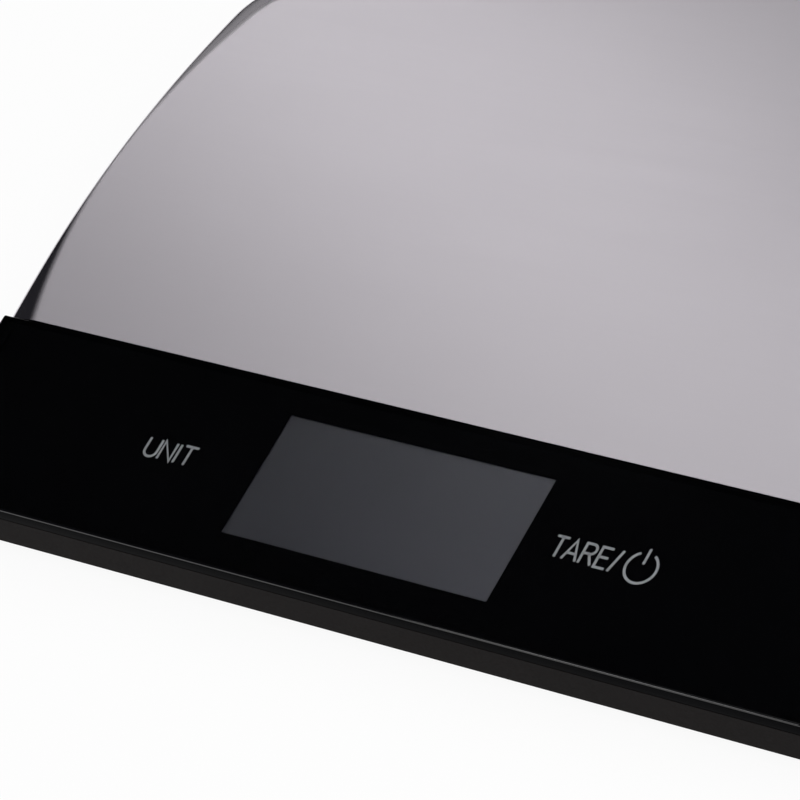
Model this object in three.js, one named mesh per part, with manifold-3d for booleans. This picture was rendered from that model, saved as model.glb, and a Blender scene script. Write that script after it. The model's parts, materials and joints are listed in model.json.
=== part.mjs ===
// Slim kitchen scale: a formed stainless steel plate and a black glass strip on a
// low moulded body that stands on four load-sensing feet. Millimetres, +Z up,
// origin on the table under the middle of the body, front edge towards -Y.
import * as THREE from 'three';
import { mergeVertices } from 'three/addons/utils/BufferGeometryUtils.js';
import Module from 'manifold-3d';

const wasm = await Module();
wasm.setup();

// ---- Driving dimensions ----
const bodyWidth = 200;
const bodyDepth = 145;
const bodyCornerRadius = 6; // front corners
const rearCornerReach = 9; // where the side's bow turns into the back's
const outlineSegments = 8; // facets of a front corner
const sideBowSteps = 10;
const rearCornerSteps = 8;
const backBowSteps = 12;
const sideBowStart = 12; // straight side ends this far behind the glass
const sideBowRadius = 280;
const backBowRadius = 158;
const bodyStand = 4; // table to the underside of the body
const bodyBandHeight = 9; // plain black side of the body
const glassStackHeight = 4; // glass, print film and their bonding gaps
const wall = 2.2;
const deckThickness = 1.8;
const bottomEdgeChamfer = 0.8;
const rootDepth = 0.8; // how far a rib or post runs into the wall that carries it
const ribStep = 0.2; // crossing ribs differ in height by this
const seamGap = 0.3; // clearance between neighbouring pieces

const stripDepth = 38.4;
const glassThickness = 3.3;
const glassBevel = 0.35;
const glassBackRadius = 0.5;
const filmThickness = 0.1;
const filmLift = 0.3;
const lipWidth = 1; // raised rim of the housing under the glass edge

const plateThickness = 0.8;
const plateInset = 0.6; // body edge that shows outside the plate
const plateSlope = 0.32; // fall of the rolled-down flank
const plateFlatHalf = 97.3; // half-width of the flat field at its widest
const plateSideRadius = 130; // bow of the flat field's sides
const plateSideCentre = 30; // widest point, behind the glass
const plateRearFlank = 5.5; // flank width along the back

const lcdWindowWidth = 57.4;
const lcdWindowDepth = 25.3;
const lcdCentreX = -2.1;
const lcdCentreY = 1.7; // from the middle of the glass strip
const lcdMargin = 2.4; // hidden border of the display glass
const lcdThickness = 2;
const lcdFrameWall = 1.4;
const lightGuideThickness = 1.8;
const zebraWidth = 1.6;

const boardEndGap = 6; // to the front load cells
const boardDepth = 27;
const boardCentreY = 3.3; // from the middle of the glass strip
const boardLift = 1.6; // cover to board
const boardThickness = 1;
const boardScrewInset = 6;
const boardScrewY = -7; // from the middle of the glass strip
const keyLeftX = -51;
const keyRightX = 44;
const keySpringRadius = 3.6;
const keySpringWire = 0.35;
const keySpringTurns = 4;
const chipSize = 9;
const chipHeight = 0.7;

const frontFootSide = 18; // foot centre from the body's side
const frontFootFront = 18.5; // and from its front edge
const rearFootSide = 38;
const rearFootBack = 38.5;
const footRadius = 8.5;
const footFlangeRadius = 10;
const footFlangeThickness = 1;
const footPostRadius = 3;
const footRimHeight = 1.6; // table to the rim of the foot cup
const padRadius = 6.8;
const padThickness = 2.7;
const footTravel = 0.3;
const footPostGap = 0.5; // more than the travel
const footHoleClearance = 0.4;

const cellSize = 28;
const cellThickness = 1.2;
const cellTongueWidth = 9;
const cellSlotWidth = 2.4;
const cellRim = 4.2;
const cellPinRadius = 1;
const cellPinInset = 2.3;
const cellPinCollar = 1.2;
const cellPinDrop = 0.6; // reach of a pin below its load cell
const gaugeLength = 7;
const gaugeWidth = 5;
const gaugeThickness = 0.5;
const gaugeOffset = 8; // towards the middle of the body

const coverThickness = 2;
const coverLipHeight = 1.5;
const coverLipWidth = 1.4;
const ribThickness = 1.2;
const coverRibHeight = 1;
const deckRibsX = [-60, -36, -15, 15, 36, 60];
const deckRibsY = [-14, 4, 36, 54];
const coverRibsX = [-56, -28, 28, 56];
const coverRibsY = [-32, -10, 52];
const ribBottom = 10; // lower edge of the deck's ribs, above the wiring

const sideScrewInset = 14;
const sideScrewY = 20;
const backScrewX = 34;
const backScrewInset = 11.5;
const seamScrewX = 45;
const seamScrewInset = 6.1; // behind the glass strip
const frontScrewX = 40;
const frontScrewInset = 5.9;
const screwShankRadius = 1.1;
const screwHeadRadius = 2.3;
const screwHeadHeight = 1.1;
const screwLength = 7;
const boardScrewLength = 5;
const screwSink = 0.6; // depth of the screw heads' recess in the cover
const bossRadius = 2.8;
const boardBossRadius = 2.4;

const batteryRadius = 10;
const batteryHeight = 3.2;
const batteryX = 0;
const batteryY = 20;
const bayClearance = 0.4;
const bayWall = 1.4;
const contactThickness = 0.3;
const contactWidth = 6;

const doorHalfWidth = 13;
const doorFront = 13; // battery centre to the door's front edge
const doorBack = 12.4; // battery centre to the door's hinge axis
const doorThickness = 1.4;
const doorGripBars = 3;
const doorGripPitch = 2.4;
const doorGripWidth = 12;
const doorGripHeight = 0.35;
const doorKnuckleRadius = 1.2;
const doorPinRadius = 0.6;
const doorPinLength = 1.2;
const doorClearance = 0.4;
const bayBlockMargin = 3.1;
const bayBlockTop = 7.6;

const leadRadius = 0.6;
const leadSides = 6;
const batteryLeadRadius = 0.5;
const leadTurn = 5; // first bend, from the gauge
const leadSwing = 2;
const laneX = 30; // the rear cells' leads run forward here
const laneSwing = 4;
const laneStart = 6; // in front of the battery's middle
const laneEnd = 18; // behind the glass strip
const leadStraight = 6; // last stretch before the board
const batteryLaneX = 6;
const batteryLaneStart = 34; // behind the glass strip
const batteryLaneEnd = 14;

// ---- Levels and places that follow from them ----
const topZ = bodyStand + bodyBandHeight + glassStackHeight;
const ledgeZ = bodyStand + bodyBandHeight - 0.1;
const deckUnderZ = ledgeZ - deckThickness;
const halfW = bodyWidth / 2;
const halfD = bodyDepth / 2;
const seamY = -halfD + stripDepth;
const stripY = -halfD + stripDepth / 2;
const lcdX = lcdCentreX;
const lcdY = stripY + lcdCentreY;
const filmZ = ledgeZ + filmLift;
const glassZ = topZ - glassThickness;
const lipZ = glassZ - seamGap;
const coverTopZ = bodyStand + coverThickness;
const boardZ = coverTopZ + boardLift;
const boardTopZ = boardZ + boardThickness;
const boardY = stripY + boardCentreY;
const boardPostY = stripY + boardScrewY;
const keyY = lcdY;
const guideZ = boardTopZ + seamGap;
const lcdZ = guideZ + lightGuideThickness + seamGap;
const cellZ = deckUnderZ - seamGap - cellThickness;
const footTopZ = cellZ - footPostGap;
const frontFootX = halfW - frontFootSide;
const frontFootY = -halfD + frontFootFront;
const rearFootX = halfW - rearFootSide;
const rearFootY = halfD - rearFootBack;
const boardWidth = 2 * (frontFootX - cellSize / 2 - boardEndGap);
const boardScrewX = boardWidth / 2 - boardScrewInset;
const feet = {
  front_left: [-frontFootX, frontFootY],
  front_right: [frontFootX, frontFootY],
  rear_left: [-rearFootX, rearFootY],
  rear_right: [rearFootX, rearFootY],
};
const coverScrews = [
  [halfW - sideScrewInset, sideScrewY],
  [backScrewX, halfD - backScrewInset],
  [seamScrewX, seamY + seamScrewInset],
  [frontScrewX, -halfD + frontScrewInset],
].flatMap(([x, y]) => [[-x, y], [x, y]]);
const hingeY = batteryY + doorBack;
const hingeZ = bodyStand + doorKnuckleRadius;
const batteryZ = bodyStand + doorThickness + seamGap;
const bayTopZ = batteryZ + batteryHeight + seamGap;
const bayRadius = batteryRadius + bayClearance;

// ---- Materials ----
function material(color, roughness, metalness = 0) {
  return new THREE.MeshStandardMaterial({ color, roughness, metalness });
}
const steel = material(0xb1afb4, 0.34, 1);
const glass = material(0x0a0a0d, 0.05);
const filmInk = material(0x060608, 0.4);
const bodyPlastic = material(0x1c1a1b, 0.45);
const rubber = material(0x161616, 0.85);
const display = material(0x3b3b41, 0.2);
const guidePlastic = material(0xe6e6e2, 0.35);
const boardGreen = material(0x1d5a35, 0.5);
const springSteel = material(0xb8b8b4, 0.3, 1);
const brass = material(0xc2a35a, 0.35, 1);
const epoxy = material(0x101010, 0.3);
const silicone = material(0xeeeeea, 0.6);
const leadRed = material(0xa81c1c, 0.5);
const leadBlack = material(0x141414, 0.5);
const leadGrey = material(0x8a8a8a, 0.5);

// ---- Solids ----
function solid(geometry) {
  geometry.deleteAttribute('normal');
  geometry.deleteAttribute('uv');
  const merged = mergeVertices(geometry, 1e-5);
  const vertProperties = new Float32Array(merged.attributes.position.array);
  const triVerts = new Uint32Array(merged.index.array);
  return new wasm.Manifold(new wasm.Mesh({ numProp: 3, vertProperties, triVerts }));
}

function geometryOf(body) {
  const { vertProperties, triVerts } = body.getMesh();
  const geometry = new THREE.BufferGeometry();
  geometry.setAttribute('position', new THREE.BufferAttribute(new Float32Array(vertProperties), 3));
  geometry.setIndex(new THREE.BufferAttribute(new Uint32Array(triVerts), 1));
  geometry.computeVertexNormals();
  return geometry;
}

const group = new THREE.Group();

function addPiece(name, body, look) {
  const mesh = new THREE.Mesh(geometryOf(body), look);
  mesh.name = name;
  group.add(mesh);
  return mesh;
}

function addAll(bodies) {
  return bodies.reduce((sum, body) => sum.add(body));
}

function roundedRect(x0, x1, y0, y1, rFront, rBack = rFront) {
  const shape = new THREE.Shape();
  shape.moveTo(x0 + rFront, y0);
  shape.lineTo(x1 - rFront, y0);
  shape.absarc(x1 - rFront, y0 + rFront, rFront, -Math.PI / 2, 0);
  shape.lineTo(x1, y1 - rBack);
  shape.absarc(x1 - rBack, y1 - rBack, rBack, 0, Math.PI / 2);
  shape.lineTo(x0 + rBack, y1);
  shape.absarc(x0 + rBack, y1 - rBack, rBack, Math.PI / 2, Math.PI);
  shape.lineTo(x0, y0 + rFront);
  shape.absarc(x0 + rFront, y0 + rFront, rFront, Math.PI, 1.5 * Math.PI);
  return shape;
}

function extrude(shape, z0, z1, bevel = 0, curveSegments = 3) {
  const geometry = new THREE.ExtrudeGeometry(shape, {
    depth: z1 - z0 - 2 * bevel,
    bevelEnabled: bevel > 0,
    bevelThickness: bevel,
    bevelSize: bevel,
    bevelOffset: -bevel,
    bevelSegments: 1,
    curveSegments,
  });
  geometry.translate(0, 0, z0 + bevel);
  return solid(geometry);
}

function box(x0, x1, y0, y1, z0, z1) {
  const geometry = new THREE.BoxGeometry(x1 - x0, y1 - y0, z1 - z0);
  geometry.translate((x0 + x1) / 2, (y0 + y1) / 2, (z0 + z1) / 2);
  return solid(geometry);
}

function cylinder(x, y, z0, z1, radius, sides = 20) {
  const geometry = new THREE.CylinderGeometry(radius, radius, z1 - z0, sides);
  geometry.rotateX(Math.PI / 2);
  geometry.translate(x, y, (z0 + z1) / 2);
  return solid(geometry);
}

function rodAlongX(x0, x1, y, z, radius, sides = 20) {
  const geometry = new THREE.CylinderGeometry(radius, radius, x1 - x0, sides);
  geometry.rotateZ(Math.PI / 2);
  geometry.translate((x0 + x1) / 2, y, z);
  return solid(geometry);
}

function turned(profile, x, y, sides = 24) {
  const points = profile.map(([r, z]) => new THREE.Vector2(r, z));
  const geometry = new THREE.LatheGeometry(points, sides);
  geometry.rotateX(Math.PI / 2);
  geometry.translate(x, y, 0);
  return solid(geometry);
}

function tube(points, radius, sides, steps) {
  const section = new THREE.Shape();
  section.absarc(0, 0, radius, 0, 2 * Math.PI);
  const path = new THREE.CatmullRomCurve3(points.map((p) => new THREE.Vector3(...p)));
  const geometry = new THREE.ExtrudeGeometry(section, {
    steps,
    curveSegments: sides,
    bevelEnabled: false,
    extrudePath: path,
  });
  return solid(geometry);
}

// ---- Outline of the body: straight front, bowed sides, a deeper bow at the back ----
function sideAt(y) {
  const t = Math.max(0, y - seamY - sideBowStart);
  return halfW - (t * t) / (2 * sideBowRadius);
}

function backAt(x) {
  return halfD - (x * x) / (2 * backBowRadius);
}

function bodyOutline(inset, frontY = -halfD + inset, frontRadius = bodyCornerRadius - inset) {
  let cornerX = sideAt(0) - inset;
  for (let i = 0; i < 12; i += 1) cornerX = sideAt(backAt(cornerX)) - inset;
  const cornerY = backAt(cornerX) - inset;
  const bowY = seamY + sideBowStart;
  const right = [];
  for (let i = 0; i <= sideBowSteps; i += 1) {
    const y = bowY + ((cornerY - rearCornerReach - bowY) * i) / sideBowSteps;
    right.push([sideAt(y) - inset, y]);
  }
  const backX = cornerX - rearCornerReach;
  const turn = new THREE.QuadraticBezierCurve(
    new THREE.Vector2(...right[sideBowSteps]),
    new THREE.Vector2(cornerX, cornerY),
    new THREE.Vector2(backX, backAt(backX) - inset),
  );
  for (const p of turn.getPoints(rearCornerSteps).slice(1)) right.push([p.x, p.y]);
  for (let i = 1; i <= backBowSteps; i += 1) {
    const x = backX * (1 - i / backBowSteps);
    right.push([x, backAt(x) - inset]);
  }
  const shape = new THREE.Shape();
  const frontX = halfW - inset;
  shape.moveTo(-frontX + frontRadius, frontY);
  shape.lineTo(frontX - frontRadius, frontY);
  shape.absarc(frontX - frontRadius, frontY + frontRadius, frontRadius, -Math.PI / 2, 0);
  for (const [x, y] of right) shape.lineTo(x, y);
  for (const [x, y] of right.slice(0, -1).reverse()) shape.lineTo(-x, y);
  shape.absarc(-frontX + frontRadius, frontY + frontRadius, frontRadius, Math.PI, 1.5 * Math.PI);
  return shape;
}

// ---- The formed top: a flat field with bowed sides and rolled-down flanks ----
function flatHalfAt(y) {
  const t = y - seamY - plateSideCentre;
  return plateFlatHalf - (t * t) / (2 * plateSideRadius);
}

function flatBackAt(x) {
  return backAt(x) - plateRearFlank;
}

function flankFall(x, y) {
  const side = Math.max(0, Math.abs(x) - flatHalfAt(Math.min(y, flatBackAt(x))));
  const back = Math.max(0, y - flatBackAt(x));
  return plateSlope * Math.hypot(side, back);
}

const fieldShare = 0.8; // part of the grid that covers the flat field
const gridMargin = 1; // the grid runs past the outline, which trims it

function gridPoint(u, v, yFront) {
  const side = Math.abs(u);
  let x = 0;
  let y = 0;
  for (let i = 0; i < 8; i += 1) {
    const crease = flatBackAt(x);
    const beyond = (v - fieldShare) / (1 - fieldShare);
    const field = yFront + ((crease - yFront) * v) / fieldShare;
    y = v <= fieldShare ? field : crease + (backAt(x) + gridMargin - crease) * beyond;
    const half = flatHalfAt(Math.min(y, crease));
    const past = (side - fieldShare) / (1 - fieldShare);
    x = side <= fieldShare ? (half * side) / fieldShare : half + (sideAt(y) + gridMargin - half) * past;
  }
  return [Math.sign(u) * x, y];
}

function crownGrid(yFront) {
  const flank = [0.87, 0.94, 1];
  const fieldColumns = 10;
  const fieldRows = 7;
  const across = flank.map((u) => -u).reverse();
  for (let i = 0; i <= fieldColumns; i += 1) across.push(fieldShare * (-1 + (2 * i) / fieldColumns));
  across.push(...flank);
  const along = [];
  for (let i = 0; i <= fieldRows; i += 1) along.push((fieldShare * i) / fieldRows);
  along.push(...flank);
  return along.map((v) => across.map((u) => gridPoint(u, v, yFront)));
}

function crownBody(yFront, drop, bottomAt) {
  const grid = crownGrid(yFront);
  const rows = grid.length;
  const columns = grid[0].length;
  const positions = [];
  const layers = [(x, y) => topZ - flankFall(x, y) - drop, bottomAt];
  for (const level of layers) {
    for (const row of grid) {
      for (const [x, y] of row) positions.push(x, y, level(x, y));
    }
  }
  const at = (layer, row, column) => layer * rows * columns + row * columns + column;
  const index = [];
  const quad = (a, b, c, d) => index.push(a, b, c, a, c, d);
  for (let r = 0; r < rows - 1; r += 1) {
    for (let c = 0; c < columns - 1; c += 1) {
      quad(at(0, r, c), at(0, r, c + 1), at(0, r + 1, c + 1), at(0, r + 1, c));
      quad(at(1, r, c), at(1, r + 1, c), at(1, r + 1, c + 1), at(1, r, c + 1));
    }
  }
  for (let c = 0; c < columns - 1; c += 1) {
    quad(at(1, 0, c), at(1, 0, c + 1), at(0, 0, c + 1), at(0, 0, c));
    quad(at(0, rows - 1, c), at(0, rows - 1, c + 1), at(1, rows - 1, c + 1), at(1, rows - 1, c));
  }
  for (let r = 0; r < rows - 1; r += 1) {
    quad(at(0, r, 0), at(0, r + 1, 0), at(1, r + 1, 0), at(1, r, 0));
    quad(at(1, r, columns - 1), at(1, r + 1, columns - 1), at(0, r + 1, columns - 1), at(0, r, columns - 1));
  }
  const geometry = new THREE.BufferGeometry();
  geometry.setAttribute('position', new THREE.BufferAttribute(new Float32Array(positions), 3));
  geometry.setIndex(index);
  return solid(geometry);
}

function crownSolid(yFront, drop) {
  return crownBody(yFront, drop, () => 0);
}

// ---- Steel plate ----
function steelPlate() {
  const sheet = crownBody(seamY + seamGap / 2, 0, (x, y) => topZ - flankFall(x, y) - plateThickness);
  const outline = bodyOutline(plateInset, seamY - 1, 0.5);
  return sheet.intersect(extrude(outline, 0, topZ + 1));
}

// ---- Glass strip and the black print film under it ----
function glassPanel() {
  return extrude(stripPocket(0), glassZ, topZ, glassBevel, outlineSegments);
}

function stripPocket(inset) {
  const x = halfW - inset;
  const back = seamY - seamGap / 2 - inset;
  return roundedRect(-x, x, -halfD + inset, back, bodyCornerRadius - inset, glassBackRadius);
}

function printFilm() {
  const sheet = extrude(stripPocket(lipWidth + seamGap), filmZ, filmZ + filmThickness);
  const halfX = lcdWindowWidth / 2;
  const halfY = lcdWindowDepth / 2;
  return sheet.subtract(box(lcdX - halfX, lcdX + halfX, lcdY - halfY, lcdY + halfY, filmZ - 1, filmZ + 1));
}

// ---- Upper housing ----
function cellPins([x, y]) {
  const out = Math.sign(x);
  const reach = cellSize / 2 - cellPinInset;
  return [-1, 1].map((side) => [x - out * reach, y + side * reach]);
}

function housingShell() {
  const blank = bodyOutline(0);
  const outer = extrude(blank, bodyStand, topZ + 2, bottomEdgeChamfer, outlineSegments);
  const underPlate = crownSolid(seamY, plateThickness + seamGap);
  const pocket = extrude(stripPocket(lipWidth), ledgeZ, topZ);
  const underGlass = box(-halfW - 1, halfW + 1, -halfD - 1, seamY + 0.5, 0, lipZ).subtract(pocket);
  const inner = bodyOutline(wall);
  const ceiling = plateThickness + seamGap + deckThickness;
  const cavityPlate = crownSolid(seamY + wall, ceiling);
  const cavityGlass = box(-halfW, halfW, -halfD, seamY + wall + 0.5, 0, deckUnderZ);
  const cavity = extrude(inner, 0, topZ).intersect(cavityPlate.add(cavityGlass));
  return outer.intersect(underPlate.add(underGlass)).subtract(cavity);
}

function deckRibs() {
  const ceiling = crownSolid(seamY + rootDepth, plateThickness + seamGap + deckThickness / 2);
  const room = extrude(bodyOutline(wall - rootDepth), 0, topZ).intersect(ceiling);
  const bars = [];
  for (const x of deckRibsX) {
    bars.push(box(x - ribThickness / 2, x + ribThickness / 2, seamY, halfD - 1, ribBottom + ribStep, topZ));
  }
  for (const y of deckRibsY) {
    bars.push(box(-halfW + 1, halfW - 1, y - ribThickness / 2, y + ribThickness / 2, ribBottom, topZ));
  }
  let ribs = addAll(bars).intersect(room);
  ribs = ribs.subtract(cylinder(batteryX, batteryY, 0, topZ, batteryRadius + 5));
  for (const [x, y] of Object.values(feet)) {
    const half = cellSize / 2 + 1;
    ribs = ribs.subtract(box(x - half, x + half, y - half, y + half, 0, cellZ + cellThickness + seamGap));
  }
  return ribs;
}

function upperHousing() {
  let housing = housingShell().add(deckRibs());
  const roof = crownSolid(seamY, plateThickness + seamGap + deckThickness / 2);
  const stripRoof = box(-halfW, halfW, -halfD, seamY + 0.5, 0, ledgeZ - deckThickness / 2);
  const room = extrude(bodyOutline(wall - rootDepth), 0, topZ).intersect(roof.add(stripRoof));
  const posts = coverScrews.map(([x, y]) => cylinder(x, y, coverTopZ + seamGap, topZ, bossRadius, 14));
  for (const side of [-1, 1]) {
    posts.push(cylinder(side * boardScrewX, boardPostY, boardTopZ + seamGap, topZ, boardBossRadius, 12));
  }
  for (const place of Object.values(feet)) {
    for (const [x, y] of cellPins(place)) {
      posts.push(cylinder(x, y, cellZ + cellThickness + seamGap, topZ, cellPinRadius + cellPinCollar, 10));
      posts.push(cylinder(x, y, cellZ - cellPinDrop, topZ, cellPinRadius, 10));
    }
  }
  housing = housing.add(addAll(posts).intersect(room));
  const lcdHalfX = lcdWindowWidth / 2 + lcdMargin + lcdFrameWall + 2 * seamGap;
  const lcdHalfY = lcdWindowDepth / 2 + lcdMargin + lcdFrameWall + 2 * seamGap;
  const cuts = [
    box(lcdX - lcdHalfX, lcdX + lcdHalfX, lcdY - lcdHalfY, lcdY + lcdHalfY, deckUnderZ - 1, ledgeZ + 1),
  ];
  for (const x of [keyLeftX, keyRightX]) {
    cuts.push(cylinder(x, keyY, deckUnderZ - 1, ledgeZ + 1, keySpringRadius + 1));
  }
  for (const [x, y] of coverScrews) {
    const tip = bodyStand + screwSink + screwLength + seamGap;
    cuts.push(cylinder(x, y, 0, tip, screwShankRadius + seamGap, 12));
  }
  for (const side of [-1, 1]) {
    cuts.push(cylinder(side * boardScrewX, boardPostY, 0, deckUnderZ + 0.9, screwShankRadius + seamGap, 12));
  }
  return housing.subtract(addAll(cuts));
}

// ---- Bottom cover with foot holes, battery bay and hinge ears ----
function bottomCover() {
  const edge = wall + seamGap;
  const outline = bodyOutline(edge);
  const hollow = bodyOutline(edge + coverLipWidth);
  let cover = extrude(outline, bodyStand, coverTopZ + coverLipHeight);
  cover = cover.subtract(extrude(hollow, coverTopZ, topZ));
  const bars = [];
  const rootZ = coverTopZ - rootDepth / 2;
  const ribTop = coverTopZ + coverRibHeight;
  const left = Math.min(...coverRibsX);
  const right = Math.max(...coverRibsX);
  const front = Math.min(...coverRibsY);
  const back = Math.max(...coverRibsY);
  const half = ribThickness / 2;
  for (const y of coverRibsY) bars.push(box(left, right, y - half, y + half, rootZ, ribTop));
  for (const x of coverRibsX) bars.push(box(x - half, x + half, front, back, rootZ, ribTop - ribStep));
  const blockX = doorHalfWidth + doorClearance + bayBlockMargin;
  const blockFront = batteryY - doorFront - doorClearance - bayWall;
  const blockBack = hingeY + doorKnuckleRadius + doorClearance + bayWall;
  bars.push(extrude(roundedRect(-blockX, blockX, blockFront, blockBack, 2), rootZ, bayBlockTop));
  bars.push(cylinder(batteryX, batteryY, coverTopZ + ribStep, bayTopZ, bayRadius + bayWall, 36));
  cover = cover.add(addAll(bars));
  const recessX = doorHalfWidth + doorClearance;
  const recessFront = batteryY - doorFront - doorClearance;
  const pinHoleX = recessX + doorPinLength + seamGap;
  const slotHalf = contactWidth / 2 + seamGap + 0.4;
  const slotY = batteryY - batteryRadius;
  const cuts = [
    box(-recessX, recessX, recessFront, hingeY, 0, bodyStand + doorThickness + seamGap),
    box(-recessX, recessX, hingeY - 0.5, hingeY + doorKnuckleRadius + doorClearance, 0, hingeZ),
    rodAlongX(-recessX, recessX, hingeY, hingeZ, doorKnuckleRadius + doorClearance),
    rodAlongX(-pinHoleX, pinHoleX, hingeY, hingeZ, doorPinRadius + seamGap),
    cylinder(batteryX, batteryY, 0, topZ, bayRadius, 36),
    box(-4.4, 4.4, recessFront, recessFront + 2.4, 0, bayBlockTop + 1),
    box(-slotHalf, slotHalf, slotY - 3, slotY + 1, bodyStand + doorThickness, topZ),
  ];
  for (const [x, y] of Object.values(feet)) {
    cuts.push(cylinder(x, y, 0, topZ, footRadius + footHoleClearance, 24));
    cuts.push(cylinder(x, y, coverTopZ - ribStep, topZ, footFlangeRadius + footHoleClearance, 24));
  }
  for (const [x, y] of coverScrews) {
    cuts.push(cylinder(x, y, 0, topZ, screwShankRadius + seamGap, 12));
    const seat = bodyStand + screwSink + screwHeadHeight - ribStep;
    cuts.push(cylinder(x, y, 0, seat, screwHeadRadius + seamGap, 16));
    const room = bossRadius + seamGap;
    const toEdge = y < -halfD + 10 ? 6 : room;
    cuts.push(box(x - room, x + room, y - toEdge, y + room, coverTopZ - ribStep, topZ));
  }
  return cover.subtract(addAll(cuts));
}

// ---- Battery door ----
function batteryDoor() {
  const frontY = batteryY - doorFront;
  const plate = roundedRect(-doorHalfWidth, doorHalfWidth, frontY, hingeY, 1.5, 0.6);
  let door = extrude(plate, bodyStand, bodyStand + doorThickness);
  door = door.add(rodAlongX(-doorHalfWidth, doorHalfWidth, hingeY, hingeZ, doorKnuckleRadius - 0.05));
  const pinEnd = doorHalfWidth + doorClearance + doorPinLength;
  door = door.add(rodAlongX(-pinEnd, pinEnd, hingeY, hingeZ, doorPinRadius));
  door = door.add(box(-4, 4, frontY, frontY + 1.2, bodyStand + 0.5, bayBlockTop - 0.3));
  for (let i = 0; i < doorGripBars; i += 1) {
    const y = frontY + doorGripPitch * (i + 1);
    const half = doorGripWidth / 2;
    const bar = doorGripPitch / 4;
    const rootZ = bodyStand + doorThickness / 2;
    door = door.add(box(-half, half, y - bar, y + bar, bodyStand - doorGripHeight, rootZ));
  }
  return door;
}

// ---- Feet ----
function footCup(x, y) {
  const flangeZ = coverTopZ + seamGap;
  const roofZ = padThickness + seamGap;
  const innerRadius = padRadius + seamGap;
  return turned([
    [0, roofZ],
    [innerRadius, roofZ],
    [innerRadius, footRimHeight],
    [footRadius - 0.4, footRimHeight],
    [footRadius, footRimHeight + 0.4],
    [footRadius, flangeZ],
    [footFlangeRadius, flangeZ],
    [footFlangeRadius, flangeZ + footFlangeThickness],
    [footPostRadius + 1.4, flangeZ + footFlangeThickness],
    [footPostRadius, flangeZ + footFlangeThickness + 0.8],
    [footPostRadius, footTopZ],
    [0, footTopZ],
  ], x, y);
}

function footPad(x, y) {
  return turned([
    [0, 0],
    [padRadius - 0.7, 0],
    [padRadius, 0.6],
    [padRadius, padThickness],
    [0, padThickness],
  ], x, y);
}

// ---- Load cells: a stamped plate whose middle tongue takes the foot's load ----
function loadCell(x, y) {
  const half = cellSize / 2;
  const out = Math.sign(x);
  const blank = extrude(roundedRect(x - half, x + half, y - half, y + half, 2), cellZ, cellZ + cellThickness);
  const tongue = cellTongueWidth / 2;
  const slotEnd = x - out * (half - cellRim - 2);
  const far = x + out * (half - cellRim);
  const low = Math.min(slotEnd, far);
  const high = Math.max(slotEnd, far);
  const cuts = [
    box(low, high, y - tongue - cellSlotWidth, y - tongue, 0, topZ),
    box(low, high, y + tongue, y + tongue + cellSlotWidth, 0, topZ),
    box(Math.min(far, far - out * cellSlotWidth), Math.max(far, far - out * cellSlotWidth),
      y - tongue - 0.1, y + tongue + 0.1, 0, topZ),
  ];
  for (const [px, py] of cellPins([x, y])) cuts.push(cylinder(px, py, 0, topZ, cellPinRadius + seamGap, 10));
  return blank.subtract(addAll(cuts));
}

function strainGauge(x, y) {
  const centre = x - Math.sign(x) * gaugeOffset;
  const halfX = gaugeLength / 2;
  const halfY = gaugeWidth / 2;
  const shape = roundedRect(centre - halfX, centre + halfX, y - halfY, y + halfY, 1);
  return extrude(shape, cellZ - seamGap - gaugeThickness, cellZ - seamGap);
}

// ---- Display, board and touch springs ----
function lcdPanel() {
  const front = lcdY - lcdWindowDepth / 2 - lcdMargin;
  const back = lcdY + lcdWindowDepth / 2 + lcdMargin;
  const contactLedge = 1.2;
  const profile = [
    [front, lcdZ],
    [back, lcdZ],
    [back, lcdZ + lcdThickness / 2],
    [back - contactLedge, lcdZ + lcdThickness / 2],
    [back - contactLedge, lcdZ + lcdThickness],
    [front, lcdZ + lcdThickness],
  ];
  return stripAlongX(profile, lcdWindowWidth + 2 * lcdMargin, lcdX);
}

function lcdFrame() {
  const inX = lcdWindowWidth / 2 + lcdMargin + seamGap;
  const inY = lcdWindowDepth / 2 + lcdMargin + seamGap;
  const outX = inX + lcdFrameWall;
  const outY = inY + lcdFrameWall;
  const outline = roundedRect(lcdX - outX, lcdX + outX, lcdY - outY, lcdY + outY, 1);
  const ring = extrude(outline, guideZ, ledgeZ - 0.1);
  return ring.subtract(box(lcdX - inX, lcdX + inX, lcdY - inY, lcdY + inY, 0, topZ));
}

function lightGuide() {
  const halfX = lcdWindowWidth / 2 + lcdMargin;
  const back = lcdY + lcdWindowDepth / 2 + lcdMargin - zebraWidth - seamGap;
  const front = lcdY - lcdWindowDepth / 2 - lcdMargin;
  return box(lcdX - halfX, lcdX + halfX, front, back, guideZ, guideZ + lightGuideThickness);
}

function zebraStrip() {
  const halfX = lcdWindowWidth / 2;
  const back = lcdY + lcdWindowDepth / 2 + lcdMargin;
  return box(lcdX - halfX, lcdX + halfX, back - zebraWidth, back, guideZ, guideZ + lightGuideThickness);
}

function mainBoard() {
  const halfX = boardWidth / 2;
  const halfY = boardDepth / 2;
  let board = box(-halfX, halfX, boardY - halfY, boardY + halfY, boardZ, boardTopZ);
  for (const side of [-1, 1]) {
    const hole = cylinder(side * boardScrewX, boardPostY, 0, topZ, screwShankRadius + seamGap, 12);
    board = board.subtract(hole);
  }
  return board;
}

function controllerChip() {
  return turned([
    [0, boardZ - seamGap - chipHeight],
    [chipSize / 3, boardZ - seamGap - chipHeight],
    [chipSize / 2, boardZ - seamGap],
    [0, boardZ - seamGap],
  ], 0, boardY, 20);
}

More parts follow.
